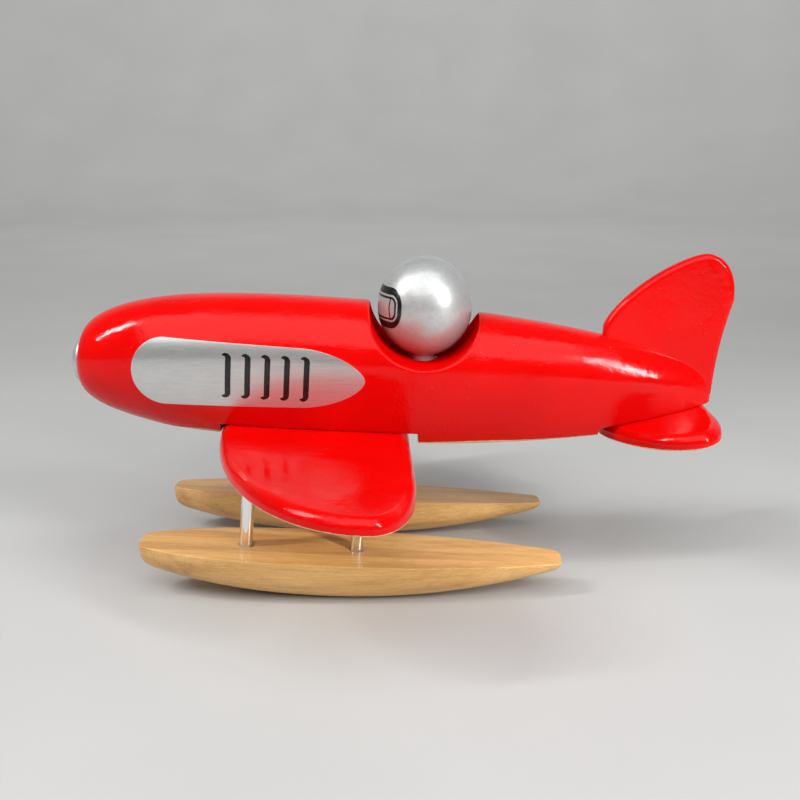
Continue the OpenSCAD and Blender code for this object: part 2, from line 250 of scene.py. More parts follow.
def silver_material(name, colour, metallic, roughness, streak, coat_roughness, peel_strength):
    """Silver flake paint under clear lacquer; streak stretches its brushed look along X."""
    material, shader, add = new_material(name)
    where = add("ShaderNodeTexCoord").outputs["Object"]
    flakes = stretched_noise(add, where, (2400, 2400, 2400), detail=2, roughness=0.7)
    brushed = stretched_noise(add, where, streak, detail=4, roughness=0.7)
    darker = tuple(c * 0.88 for c in colour)
    tone = ramp(add, brushed, [(0.3, darker), (0.62, colour)])
    sparkle = ramp(add, flakes, [(0.34, (0.86, 0.86, 0.86)), (0.66, (1, 1, 1))])
    node = add("ShaderNodeMix", data_type="RGBA", blend_type="MULTIPLY")
    node.inputs[0].default_value = 0.8
    link(node, node.inputs[6], tone)
    link(node, node.inputs[7], sparkle)
    link(shader, shader.inputs["Base Color"], node.outputs[2])
    shader.inputs["Metallic"].default_value = metallic
    satin = ranged(add, flakes, roughness - 0.05, roughness + 0.07, 0.3, 0.7)
    link(shader, shader.inputs["Roughness"], satin)
    shader.inputs["Coat Weight"].default_value = 1
    shader.inputs["Coat Roughness"].default_value = coat_roughness
    peel = stretched_noise(add, where, (480, 480, 480), detail=2)
    bumped(add, shader, [(peel, peel_strength, 0.0002), (flakes, 0.05, 0.00008)])
    return material


def black_print_material():
    """Slightly raised black print ink with a faint mottle."""
    material, shader, add = new_material("black_print")
    where = add("ShaderNodeTexCoord").outputs["Object"]
    mottle = stretched_noise(add, where, (900, 900, 900), detail=3)
    colour = ramp(add, mottle, [(0.3, (0.004, 0.004, 0.004)), (0.75, (0.012, 0.012, 0.011))])
    link(shader, shader.inputs["Base Color"], colour)
    link(shader, shader.inputs["Roughness"], ranged(add, mottle, 0.16, 0.32, 0.3, 0.7))
    bumped(add, shader, [(mottle, 0.10, 0.0001)])
    return material


def metal_material(name, colour, low, high, stretch, bump):
    """Bare or plated metal whose roughness runs in fine drawn lines."""
    material, shader, add = new_material(name)
    where = add("ShaderNodeTexCoord").outputs["Object"]
    lines = stretched_noise(add, where, stretch, detail=3, roughness=0.6)
    tone = ramp(add, lines, [(0.3, tuple(c * 0.93 for c in colour)), (0.7, colour)])
    link(shader, shader.inputs["Base Color"], tone)
    shader.inputs["Metallic"].default_value = 1
    link(shader, shader.inputs["Roughness"], ranged(add, lines, low, high, 0.3, 0.7))
    bumped(add, shader, [(lines, bump, 0.0001)])
    return material


def floor_material():
    material, shader, add = new_material("pale_studio_floor")
    where = add("ShaderNodeTexCoord").outputs["Object"]
    cloud = stretched_noise(add, where, (6, 6, 6), detail=3)
    pale = ramp(add, cloud, [(0.3, (0.48, 0.48, 0.475)), (0.7, (0.51, 0.51, 0.505))])
    link(shader, shader.inputs["Base Color"], pale)
    shader.inputs["Roughness"].default_value = 0.7
    return material


LACQUER = lacquer_material("gloss_red_lacquer", 0.21)
COCKPIT_LACQUER = lacquer_material("sanded_red_lacquer", 0)
VARNISHED = wood_material(
    "varnished_maple", (0.60, 0.31, 0.095), (0.78, 0.44, 0.145), (0.90, 0.54, 0.20), 0.42, 0.35)
BARE_WOOD = wood_material("bare_maple", (0.62, 0.44, 0.26), (0.70, 0.52, 0.33), (0.76, 0.60, 0.41), 0.66, 0.0)
SILVER = silver_material("silver_flake_paint", (0.56, 0.57, 0.565), 0.5, 0.38, (500, 500, 500), 0.05, 0.05)
PANEL_SILVER = silver_material(
    "brushed_silver_paint", (0.65, 0.655, 0.645), 0.78, 0.33, (60, 1400, 1400), 0.12, 0.04)
BLACK_PRINT = black_print_material()
CHROME = metal_material("chrome_plate", (0.92, 0.93, 0.94), 0.03, 0.08, (2200, 2200, 60), 0.02)
ZINC = metal_material("zinc_plate", (0.66, 0.66, 0.63), 0.22, 0.38, (1500, 1500, 1500), 0.06)


# ---------- mesh helpers ----------

def carried(points, matrix=None):
    """Points in millimetres, in the craft's frame or in one that matrix carries to it, to the row frame."""
    full = np.array(CRAFT @ (matrix or Matrix.Identity(4)))
    points = np.asarray(points, float)
    return points @ full[:3, :3].T + full[:3, 3]


def add_piece(name, points, faces, materials, body=AIRFRAME, sharp=40, paint=None, face_slots=None,
              normals=None):
    """A mesh piece in the row frame that rides on a body."""
    mesh = bpy.data.meshes.new(name)
    mesh.from_pydata([tuple(p) for p in points], [], faces)
    mesh.update()
    for material in materials:
        mesh.materials.append(material)
    if face_slots is not None:
        mesh.polygons.foreach_set("material_index", face_slots)
    mesh.polygons.foreach_set("use_smooth", [True] * len(mesh.polygons))
    if paint is not None:
        layer = mesh.attributes.new("paint", "FLOAT", "POINT")
        layer.data.foreach_set("value", np.asarray(paint, np.float32))
    if sharp:
        mesh.set_sharp_from_angle(angle=math.radians(sharp))
    if normals is not None:
        mesh.normals_split_custom_set_from_vertices([tuple(n) for n in normals])
    piece = bpy.data.objects.new(name, mesh)
    bpy.context.scene.collection.objects.link(piece)
    if body:
        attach(piece, body)
    return piece


def loft_faces(rows, columns, cap_start=True, cap_end=True):
    """Quads between closed rings of points, with the two end rings closed."""
    faces = []
    for i in range(rows - 1):
        for j in range(columns):
            a, b = i * columns + j, i * columns + (j + 1) % columns
            faces.append((a, b, b + columns, a + columns))
    if cap_start:
        faces.append(tuple(range(columns - 1, -1, -1)))
    if cap_end:
        faces.append(tuple(range((rows - 1) * columns, rows * columns)))
    return faces


def revolved(profile, segments=96):
    """Points and faces of a profile of (radius, height) turned about the Z axis, from the bottom up.
    A radius of zero at either end closes it to a point."""
    points, rings = [], []
    for radius, height in profile:
        if radius == 0:
            rings.append([len(points)] * segments)
            points.append((0, 0, height))
        else:
            rings.append(list(range(len(points), len(points) + segments)))
            angles = [2 * math.pi * k / segments for k in range(segments)]
            points += [(radius * math.cos(a), radius * math.sin(a), height) for a in angles]
    faces = []
    for low, high in zip(rings, rings[1:]):
        for k in range(segments):
            m = (k + 1) % segments
            corners = [low[k], low[m], high[m], high[k]]
            faces.append(tuple(dict.fromkeys(corners)))
    return points, faces


def bevelled_rod(radius, low, high, bevel):
    """Profile of a round rod between two heights, with both ends bevelled."""
    profile = [(0, low), (radius - bevel, low), (radius, low + bevel)]
    profile += [(radius, h) for h in np.linspace(low + 2 * bevel, high - 2 * bevel, 12)]
    return profile + [(radius, high - bevel), (radius - bevel, high), (0, high)]


def print_shell(surface, u, v, lift, wrap=False):
    """Closed thin shell of print or paint on a curved surface. u and v are grids of surface coordinates and
    surface(u, v, height) gives the points at a height over it. The rim drops into the surface."""
    rows, columns = u.shape
    across = np.abs(np.linspace(-1, 1, columns))
    crown = lift * (1 - 0.45 * across ** 10)
    top = surface(u, v, np.broadcast_to(crown, u.shape))
    base = surface(u, v, np.full(u.shape, -2 * lift))
    points = np.concatenate([top.reshape(-1, 3), base.reshape(-1, 3)])
    under = rows * columns
    faces = []
    last = rows if wrap else rows - 1
    for i in range(last):
        k = (i + 1) % rows
        for j in range(columns - 1):
            a, b, c, d = i * columns + j, k * columns + j, k * columns + j + 1, i * columns + j + 1
            faces.append((a, b, c, d))
            faces.append((under + d, under + c, under + b, under + a))
        first, other = i * columns, k * columns
        faces.append((under + first, under + other, other, first))
        end = columns - 1
        faces.append((first + end, other + end, under + other + end, under + first + end))
    if not wrap:
        for j in range(columns - 1):
            faces.append((j, j + 1, under + j + 1, under + j))
            a = (rows - 1) * columns + j
            faces.append((under + a, under + a + 1, a + 1, a))
    return points, faces


def tidy(piece, merge=0.004):
    """Merges points that fall together at the tips of a print and turns all faces outwards."""
    shape = bmesh.new()
    shape.from_mesh(piece.data)
    bmesh.ops.remove_doubles(shape, verts=shape.verts, dist=merge * MM)
    bmesh.ops.dissolve_degenerate(shape, edges=shape.edges, dist=merge * MM)
    bmesh.ops.recalc_face_normals(shape, faces=shape.faces)
    shape.to_mesh(piece.data)
    shape.free()
    piece.data.update()
    return piece


def cut(piece, cutters):
    """Cuts closed solids, each (points, faces, matrix, material), out of a piece. The walls that a
    cutter leaves take its material."""
    for number, (points, faces, matrix, material) in enumerate(cutters):
        tool = add_piece(f"tool_{number}", carried(points, matrix), faces, [material], body=None)
        change = piece.modifiers.new("cut", "BOOLEAN")
        change.operation = "DIFFERENCE"
        change.solver = "EXACT"
        change.material_mode = "TRANSFER"
        change.object = tool
        bpy.context.view_layer.update()
        made = bpy.data.meshes.new_from_object(piece.evaluated_get(bpy.context.evaluated_depsgraph_get()))
        piece.modifiers.clear()
        old = piece.data
        made.name = old.name
        piece.data = made
        bpy.data.meshes.remove(old)
        bpy.data.objects.remove(tool)
    piece.data.set_sharp_from_angle(angle=math.radians(35))
    return piece


# ---------- the body's curves ----------

def unit(value):
    return np.clip(value, 0, 1)


def nose_growth(x):
    return (1 - (1 - unit((x + NOSE_REACH) / (NOSE_REACH - CROWN_REACH))) ** 2.75) ** 0.5


def body_profile(x):
    """Top, belly, half width, height of the widest line and drop under it, at stations x."""
    grown = nose_growth(x)
    fore_top = CAP_HEIGHT + CAP_RADIUS + (CROWN_HEIGHT - CAP_HEIGHT - CAP_RADIUS) * grown
    along = unit((x + CROWN_REACH) / (TAIL_REACH + CROWN_REACH))
    aft_top = TAIL_HEIGHT + (CROWN_HEIGHT - TAIL_HEIGHT) * np.sqrt(1 - along ** 1.87)
    top = np.where(x < -CROWN_REACH, fore_top, aft_top)
    chin = (1 - (1 - unit((x + NOSE_REACH) / CHIN_LENGTH)) ** 1.8) ** (1 / 1.8)
    aft_rise = BELLY_RISE * (np.maximum(0, x - 3) / (REBATE_X - 4)) ** 1.5
    bottom = (CAP_HEIGHT - CAP_RADIUS) * (1 - chin) + aft_rise
    waist = -18
    aft = unit((x - waist) / (TAIL_REACH - waist))
    fore_width = CAP_RADIUS + (BODY_HALF_WIDTH - CAP_RADIUS) * grown
    width = np.where(x < waist, fore_width, BODY_HALF_WIDTH * (1 - aft ** 1.8) ** (1 / 1.6))
    width = np.maximum(width, 0.05)
    flat = unit((x - FLAT_START) / FLAT_GROWTH)
    belly = BELLY_SHARE * width * (1 - (1 - flat) ** 2)
    middle = bottom + (top - bottom) * (0.5 + 0.07 * grown)
    drop = (middle - bottom) / np.sin(np.arccos(belly / width))
    return top, bottom, width, middle, drop


def body_half_width_at(x, z):
    top, _, width, middle, drop = body_profile(x)
    share = np.where(z > middle, (z - middle) / (top - middle), (z - middle) / drop)
    return width * np.sqrt(np.maximum(0, 1 - share ** 2))


def flank(side):
    """Surface of one flank: (x, z, height over the lacquer) to points in the row frame."""
    def place(x, z, height):
        step = 0.05
        y = body_half_width_at(x, z)
        slope_x = (body_half_width_at(x + step, z) - body_half_width_at(x - step, z)) / (2 * step)
        slope_z = (body_half_width_at(x, z + step) - body_half_width_at(x, z - step)) / (2 * step)
        normal = np.stack([-slope_x, np.ones_like(x), -slope_z], -1)
        normal /= np.linalg.norm(normal, axis=-1, keepdims=True)
        point = np.stack([x, y, z], -1) + normal * height[..., None]
        point[..., 1] *= side
        return carried(point)
    return place


def skin_value(x, y, z):
    """Zero on the body's skin, negative inside; not yet a distance."""
    top, _, width, middle, drop = body_profile(x)
    half = np.where(z > middle, top - middle, drop)
    return np.sqrt((y / width) ** 2 + ((z - middle) / half) ** 2) - 1


def skin_slope(x, y, z, step=0.02):
    gx = skin_value(x + step, y, z) - skin_value(x - step, y, z)
    gy = skin_value(x, y + step, z) - skin_value(x, y - step, z)
    gz = skin_value(x, y, z + step) - skin_value(x, y, z - step)
    return np.maximum(np.sqrt(gx ** 2 + gy ** 2 + gz ** 2) / (2 * step), 1e-4)


def soft_max(a, b, radius):
    """Larger of two distances, with the corner between them rounded."""
    near = np.maximum(radius - np.abs(a - b), 0) / radius
    return np.maximum(a, b) + near ** 2 * radius / 4


def slot_distance(x, z):
    """Distance outside the slot for the wing."""
    return np.maximum(np.maximum(-SLOT_FRONT - x, x + SLOT_REAR), z - SLOT_DEPTH)


def body_distance(x, y, z, slope):
    """Distance to the finished body: skin, belly, nose joint, cockpit, slot, rebate and neck bore."""
    bottom = body_profile(x)[1]
    skin = skin_value(x, y, z) / slope
    shape = soft_max(skin, bottom - z, EDGE_ROUND)
    shape = np.maximum(shape, -NOSE_REACH - x)
    shape = soft_max(shape, x - TAIL_REACH - TAIL_OVERRUN, TAIL_ROUND)
    cockpit = COCKPIT_RADIUS - np.sqrt(x ** 2 + (z - COCKPIT_HEIGHT) ** 2)
    shape = soft_max(shape, cockpit, COCKPIT_ROUND)
    shape = soft_max(shape, -slot_distance(x, z), CUT_ROUND)
    over_rebate = (z - REBATE_Z) * math.cos(REBATE_SLOPE) - (x - REBATE_X) * math.sin(REBATE_SLOPE)
    shape = soft_max(shape, -np.maximum(REBATE_X - x, over_rebate), CUT_ROUND)
    bore_foot = COCKPIT_HEIGHT - COCKPIT_RADIUS - NECK_DEPTH
    bore = np.maximum(np.sqrt(x ** 2 + y ** 2) - NECK_RADIUS - NECK_CLEARANCE, bore_foot - z)
    return soft_max(shape, -bore, EDGE_ROUND)


def surface_net(value, axes):
    """Points and quads on the zero level of a grid of values, one point per cell that it crosses."""
    inside = value < 0
    shape = value.shape
    cells = tuple(n - 1 for n in shape)
    total = np.zeros((*cells, 3))
    count = np.zeros(cells)
    crossings = []
    for axis in range(3):
        low = tuple(slice(0, n - 1) if k == axis else slice(0, n) for k, n in enumerate(shape))
        high = tuple(slice(1, n) if k == axis else slice(0, n) for k, n in enumerate(shape))
        where = np.argwhere(inside[low] != inside[high])
        step = np.eye(3, dtype=int)[axis]
        a = value[tuple(where.T)]
        b = value[tuple((where + step).T)]
        point = np.stack([axes[k][where[:, k]] for k in range(3)], -1).astype(float)
        point[:, axis] += a / (a - b) * (axes[axis][1] - axes[axis][0])
        others = [k for k in range(3) if k != axis]
        safe = np.all([(where[:, k] > 0) & (where[:, k] < cells[k]) for k in others], axis=0)
        where, point, a = where[safe], point[safe], a[safe]
        for shift_b in (0, 1):
            for shift_c in (0, 1):
                cell = where.copy()
                cell[:, others[0]] -= shift_b
                cell[:, others[1]] -= shift_c
                np.add.at(total, tuple(cell.T), point)
                np.add.at(count, tuple(cell.T), 1)
        crossings.append((axis, others, where, a < 0))
    index = np.full(cells, -1)
    used = count > 0
    index[used] = np.arange(used.sum())
    points = total[used] / count[used][:, None]
    quads = []
    for axis, others, where, outward in crossings:
        corner = []
        for shift_b, shift_c in ((1, 1), (0, 1), (0, 0), (1, 0)):
            cell = where.copy()
            cell[:, others[0]] -= shift_b
            cell[:, others[1]] -= shift_c
            corner.append(index[tuple(cell.T)])
        quad = np.stack(corner, -1)
        flip = outward if axis != 1 else ~outward
        quad[~flip] = quad[~flip][:, ::-1]
        quads.append(quad)
    return points, np.concatenate(quads)


def settle(points, rounds=6):
    """Moves points onto the finished body and returns them with their normals."""
    step = 0.02
    for _ in range(rounds):
        x, y, z = points.T
        slope = skin_slope(x, y, z)
        here = body_distance(x, y, z, slope)
        gradient = np.stack([
            body_distance(x + step, y, z, slope) - body_distance(x - step, y, z, slope),
            body_distance(x, y + step, z, slope) - body_distance(x, y - step, z, slope),
            body_distance(x, y, z + step, slope) - body_distance(x, y, z - step, slope)], -1) / (2 * step)
        size = np.maximum((gradient ** 2).sum(1), 0.05)
        move = -here[:, None] * gradient / size[:, None]
        points = points + np.clip(move, -0.4, 0.4)
    normals = gradient / np.sqrt(size)[:, None]
    return points, normals


def lacquered_body():
    """The whole body as one smooth skin, with its cuts softly rounded as lacquer leaves them."""
    cell = 0.75
    margin = 3 * cell
    axes = [np.arange(low - margin, high + margin, cell) for low, high in (
        (-NOSE_REACH, TAIL_REACH), (-BODY_HALF_WIDTH, BODY_HALF_WIDTH), (0, CROWN_HEIGHT))]
    x, y, z = np.meshgrid(*axes, indexing="ij", sparse=True)
    slope = 1 / np.broadcast_to(body_profile(x)[2], x.shape)
    value = body_distance(x, y, z, slope)
    points, quads = surface_net(value, axes)
    points, normals = settle(points)
    height = points[:, 2] - body_profile(points[:, 0])[1]
    slot_edge = slot_distance(points[:, 0], points[:, 2])
    x = points[:, 0]
    # bare wood shows higher up at two worn places on the belly's edge
    wear = 0.5 + 0.8 * np.exp(-((x + 87) / 9) ** 2) + 0.8 * np.exp(-((x - 24) / 20) ** 2)
    paint = np.minimum(height - wear, slot_edge - 0.12)
    from_axis = np.hypot(x, points[:, 2] - COCKPIT_HEIGHT)
    in_cockpit = (from_axis < COCKPIT_RADIUS + 0.25)[quads].all(axis=1)
    turn = np.array(CRAFT.to_3x3().normalized())
    piece = add_piece("lacquered_body", carried(points), [tuple(q) for q in quads.tolist()],
                      [LACQUER, COCKPIT_LACQUER], sharp=0, paint=paint,
                      face_slots=in_cockpit.astype(int), normals=normals @ turn.T)
    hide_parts("fuselage")
    return piece


# ---------- boards ----------

def arc(width, height, power_x, power_y, start, stop, steps):
    """Part of a superellipse quarter, from (0, height) at 0 degrees to (width, 0) at 90 degrees."""
    t = np.radians(np.linspace(start, stop, steps))
    return np.stack([width * np.sin(t) ** (2 / power_x), height * np.abs(np.cos(t)) ** (2 / power_y)], -1)


def wing_outline(lead, tip, corner, trail, power):
    """Closed outline of a wing from above, clockwise, with the same number of points on both sides."""
    front = arc(tip[0] - lead, tip[1], power[0], power[1], 90, 1, 90)
    front = np.stack([tip[0] - front[:, 0], front[:, 1]], -1)
    rear = arc(corner[0] - tip[0], tip[1] - corner[1], power[2], power[2], 0, 90, 60)
    rear = rear + [tip[0], corner[1]]
    root = np.linspace(rear[-1], (trail, 0), 12)[1:]
    half = np.concatenate([front, rear, root])
    return np.concatenate([half, half[-2:0:-1] * [1, -1]])


def inset(outline, distance):
    """Clockwise outline moved inwards along its own normals. Points that would cross over in a tight
    bend are spread out between their sound neighbours."""
    run = np.roll(outline, -1, 0) - np.roll(outline, 1, 0)
    normal = np.stack([run[:, 1], -run[:, 0]], -1) / np.linalg.norm(run, axis=1, keepdims=True)
    moved = outline + distance * normal
    gap = np.linalg.norm(moved[:, None] - outline[None], axis=2).min(axis=1)
    count = np.arange(len(outline))
    sound = gap >= 0.995 * distance
    return np.stack([np.interp(count, count[sound], axis[sound], period=len(outline))
                     for axis in moved.T], -1)


def level_caps(piece):
    """Shades the two end faces of a loft as plain flats."""
    for face in piece.data.polygons[-2:]:
        face.use_smooth = False


def board_piece(name, outline, matrix, cutters, node):
    """Board with bare wood underneath, a sanded lower edge and a well rounded upper edge."""
    sanded, steps = 0.35, 22
    rim = [(BOARD_ROUND * (1 - math.cos(a)), BOARD - BOARD_ROUND + BOARD_ROUND * math.sin(a))
           for a in np.linspace(0, math.pi / 2, steps)]
    levels = [(sanded, 0), (0, sanded), (0, 0.9)] + rim
    rings = [np.column_stack([inset(outline, d), np.full(len(outline), z)]) for d, z in levels]
    points = np.concatenate(rings)
    faces = loft_faces(len(levels), len(outline))
    faces = [face[::-1] for face in faces]
    paint = points[:, 2] - 0.5
    piece = add_piece(name, carried(points, matrix), faces, [LACQUER], paint=paint)
    level_caps(piece)
    cut(piece, cutters)
    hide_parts(node)
    return piece


ON_REBATE = Matrix.Translation((REBATE_X, 0, REBATE_Z)) @ Matrix.Rotation(-REBATE_SLOPE, 4, "Y")


def on_float(side):
    """From a float's own frame, with its deck at z = 0, to the craft's frame."""
    place = Matrix.Translation((0, side * FLOAT_TRACK / 2, -DECK_DROP))
    return place @ Matrix.Rotation(-side * FLOAT_CANT, 4, "X")


def rod_axis(side, x):
    return on_float(side) @ Matrix.Translation((x, 0, 0)) @ Matrix.Rotation(ROD_RAKE, 4, "Y")


ROD_ABOVE_DECK = (DECK_DROP + SLOT_DEPTH - BOARD + ROD_IN_WING) / math.cos(FLOAT_CANT) / math.cos(ROD_RAKE)
ROD_PLACES = [(side, x) for side in (LEFT, RIGHT) for x in (-ROD_FRONT, -ROD_REAR)]


def drill(radius, low, high):
    """Profile of a plain round hole between two heights."""
    return [(0, low), (radius, low), (radius, high), (0, high)]


def screw_sink(head, shank, depth, length):
    """Cutter for a countersunk screw that stands head down at z = 0."""
    play = 0.12
    return [(0, -1), (head + play + 1, -1), (shank + play, depth + play), (shank + play, length), (0, length)]


def wing_piece():
    matrix = Matrix.Translation((0, 0, SLOT_DEPTH - BOARD))
    outline = wing_outline(
        lead=-81.3, tip=(-20, HALF_SPAN), corner=(-1.9, 72), trail=-4.6, power=(2, 2, 2.4))
    rod_hole = drill(ROD_RADIUS + 0.04, 20, ROD_ABOVE_DECK + 0.04)
    cutters = [(*revolved(rod_hole, 64), rod_axis(side, x), BARE_WOOD) for side, x in ROD_PLACES]
    sink = screw_sink(3.5, 1.75, 2.4, BOARD + 1)
    cutters += [(*revolved(sink, 64), Matrix.Translation((x, 0, SLOT_DEPTH - BOARD)), BARE_WOOD)
                for x in WING_SCREW_X]
    return board_piece("wing_board", outline, matrix, cutters, "wing")


def stabilizer_piece():
    outline = wing_outline(
        lead=1.5, tip=(33.4, TAIL_HALF_SPAN), corner=(46.9, 14), trail=47.4, power=(1.8, 1.4, 2.2))
    matrix = ON_REBATE @ Matrix.Translation((0, 0, -BOARD))
    sink = screw_sink(3, 1.5, 2, BOARD + 1)
    cutters = [(*revolved(sink, 64), matrix @ Matrix.Translation((x, 0, 0)), BARE_WOOD) for x in TAIL_SCREW_X]
    return board_piece("stabilizer_board", outline, matrix, cutters, "stabilizer")


def fin_piece():
    """Upright board with both edges rounded; its foot runs on inside the body."""
    front, lead_z, top, rear, foot = 74, 49, (113.2, 80.5), (126.3, 62), (121.6, 22.5)
    groove_front_z, bow = 36, 1.2
    slope = (groove_front_z - foot[1]) / (foot[0] - front)
    lead = arc(top[0] - front, top[1] - lead_z, 1.38, 1.38, 90, 0, 90)
    lead = np.stack([top[0] - lead[:, 0], lead_z + lead[:, 1]], -1)
    crown = arc(rear[0] - top[0], top[1] - rear[1], 2.2, 2.2, 1, 90, 50) + [top[0], rear[1]]
    u = np.linspace(1, 0, 40)[1:, None]
    trail = np.array(foot) + (np.array(rear) - foot) * u - np.array([bow, 0]) * np.sin(math.pi * u)
    rise = np.linspace((front, groove_front_z), lead[0], 12)[:-1]
    outline = np.concatenate([rise, lead, crown, trail])
    steps = 18
    near = [(FIN_ROUND * (1 - math.sin(a)), BOARD / 2 - FIN_ROUND * (1 - math.cos(a)))
            for a in np.linspace(0, math.pi / 2, steps)]
    levels = near + [(d, -y) for d, y in near[::-1]]
    rings = []
    for d, y in levels:
        flat = inset(outline, d)
        flat[0, 0], flat[-1, 0] = flat[1, 0], 2 * flat[-2, 0] - flat[-3, 0]
        for end in (0, -1):
            flat[end, 1] = groove_front_z - (flat[end, 0] - front) * slope
        rings.append(np.column_stack([flat[:, 0], np.full(len(flat), y), flat[:, 1]]))
    points = np.concatenate(rings)
    faces = loft_faces(len(levels), len(outline))
    piece = add_piece("fin_board", carried(points), faces, [LACQUER],
                      paint=np.full(len(points), 5.0))
    level_caps(piece)
    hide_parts("fin")
    return piece


# ---------- floats and rods ----------

def keel_depth(x):
    from_tip = FLOAT_LENGTH / 2 - np.abs(x + FLOAT_REACH)
    rounding = 1 - np.sqrt(1 - (1 - unit(from_tip / TIP_LENGTH)) ** 2)
    return (FLOAT_DEPTH - KEEL_CURVE * (x + KEEL_REACH) ** 2) * (1 - TIP_SHARE * rounding)


def deck_half_width(x):
    s = (x + FLOAT_REACH) / (FLOAT_LENGTH / 2)
    power = np.where(s < 0, 3.5, 2)
    return (FLOAT_TIP_WIDTH + (FLOAT_WIDTH - FLOAT_TIP_WIDTH) * (1 - np.abs(s) ** power)) / 2


def float_ring(x, shrink):
    """Section of a float with its deck edges just broken; shrink narrows a tip's last rings."""
    t = np.radians(np.linspace(0, 180, 61))
    width, depth = deck_half_width(x) - shrink, keel_depth(x) - 0.3 * shrink
    soft = 0.45
    y = width * np.sign(np.cos(t)) * np.abs(np.cos(t)) ** (2 / CHINE)
    z = -soft - (depth - soft) * np.sin(t) ** (2 / CHINE)
    turn = np.linspace(math.radians(22.5), math.pi / 2, 4)
    port = np.stack([-width + soft - soft * np.cos(turn), -soft + soft * np.sin(turn)], -1)
    starboard = port[::-1] * [-1, 1]
    deck = np.linspace(port[-1], starboard[0], 17)[1:-1]
    outline = np.concatenate([np.stack([y, z], -1), port, deck, starboard])
    outline[:, 1] = np.minimum(outline[:, 1], -0.12 * shrink)
    return np.column_stack([np.full(len(outline), x), outline])


def float_piece(side):
    half = FLOAT_LENGTH / 2
    edge = 3
    tip = [(edge * (1 - math.sin(a)), edge * (1 - math.cos(a))) for a in np.linspace(0, math.pi / 2, 12)]
    fore = [(-half + back, pull) for pull, back in tip]
    middle = [(half * -math.cos(a), 0) for a in np.linspace(0.12, math.pi - 0.12, 120)]
    aft = [(-x, pull) for x, pull in fore[::-1]]
    stations = fore + [m for m in middle if abs(m[0]) < half - edge - 0.05] + aft
    rings = [float_ring(np.float64(s - FLOAT_REACH), pull) for s, pull in stations]
    faces = [face[::-1] for face in loft_faces(len(rings), len(rings[0]))]
    name = f"float_{SIDE_NAME[side]}_hull"
    points = carried(np.concatenate(rings), on_float(side))
    points[:, 2] = np.maximum(points[:, 2], 0)
    piece = add_piece(name, points, faces, [VARNISHED])
    sink = 1.1
    hole = [(0, -ROD_IN_FLOAT), (ROD_RADIUS + 0.04, -ROD_IN_FLOAT), (ROD_RADIUS + 0.04, -sink * 0.8),
            (ROD_RADIUS + sink * 2, sink), (0, sink)]
    cut(piece, [(*revolved(hole, 96), rod_axis(side, x), BARE_WOOD) for x in (-ROD_FRONT, -ROD_REAR)])
    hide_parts(f"float_{SIDE_NAME[side]}")
    return piece


def rod_piece(side, x):
    points, faces = revolved(bevelled_rod(ROD_RADIUS, -ROD_IN_FLOAT, ROD_ABOVE_DECK, 0.35), 96)
    place = f"{'front' if x == -ROD_FRONT else 'rear'}_{SIDE_NAME[side]}"
    piece = add_piece(f"rod_{place}", carried(points, rod_axis(side, x)), faces, [CHROME])
    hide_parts(f"strut_{place}")
    return piece


# ---------- nose, pilot and print ----------

def nose_piece():
    """Blunt dome with a softened rim, on its spigot."""
    rim = 0.25
    dome = [(CAP_RADIUS * math.sin(a), CAP_DOME * math.cos(a)) for a in np.linspace(math.pi / 2, 0, 48)]
    profile = [(0, -2), (4, -2), (4, 0), (CAP_RADIUS - rim, 0)] + [p for p in dome if p[1] > rim or p[0] == 0]
    points, faces = revolved(profile, 128)
    matrix = Matrix.Translation((-NOSE_REACH, 0, CAP_HEIGHT)) @ Matrix.Rotation(-math.pi / 2, 4, "Y")
    piece = add_piece("nose_disc", carried(points, matrix), faces, [SILVER])
    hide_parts("nose_cap")
    return piece


def head_piece():
    angles = np.linspace(-math.pi / 2, math.pi / 2, 97)
    profile = [(HEAD_RADIUS * math.cos(a), HEAD_HALF_HEIGHT * math.sin(a)) for a in angles]
    profile[0], profile[-1] = (0, -HEAD_HALF_HEIGHT), (0, HEAD_HALF_HEIGHT)
    points, faces = revolved(profile, 192)
    matrix = Matrix.Translation((0, 0, HEAD_HEIGHT))
    piece = add_piece("head_ball", carried(points, matrix), faces, [SILVER], body=PILOT)
    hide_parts("pilot_head")
    return piece


def neck_piece():
    foot = COCKPIT_HEIGHT - COCKPIT_RADIUS - NECK_DEPTH
    end = HEAD_HEIGHT - HEAD_HALF_HEIGHT + NECK_SOCKET
    points, faces = revolved(bevelled_rod(NECK_RADIUS, foot, end, 0.4), 96)
    piece = add_piece("neck_dowel", carried(points), faces, [SILVER], body=PILOT)
    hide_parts("neck_peg")
    return piece


def on_head(azimuth, elevation, height):
    """Surface of the head: angles in degrees, azimuth 0 towards the nose and positive to the left."""
    a, e = np.radians(azimuth), np.radians(elevation)
    point = np.stack([-HEAD_RADIUS * np.cos(e) * np.cos(a), -HEAD_RADIUS * np.cos(e) * np.sin(a),
                      HEAD_HALF_HEIGHT * np.sin(e)], -1)
    normal = point / np.array([HEAD_RADIUS, HEAD_RADIUS, HEAD_HALF_HEIGHT]) ** 2
    normal /= np.linalg.norm(normal, axis=-1, keepdims=True)
    return carried(point + normal * np.asarray(height)[..., None] + [0, 0, HEAD_HEIGHT])


def rounded_box(half_width, half_height, radius, steps=24):
    """Closed rounded rectangle, with the same number of points whatever its size."""
    corners = []
    for quarter, (x, y) in enumerate(((1, 1), (-1, 1), (-1, -1), (1, -1))):
        turn = np.linspace(0, math.pi / 2, steps) + quarter * math.pi / 2
        centre = np.array([x * (half_width - radius), y * (half_height - radius)])
        corners.append(centre + radius * np.stack([np.cos(turn), np.sin(turn)], -1))
    sides = [np.linspace(corners[k][-1], corners[(k + 1) % 4][0], steps)[1:-1] for k in range(4)]
    return np.concatenate([part for pair in zip(corners, sides) for part in pair])


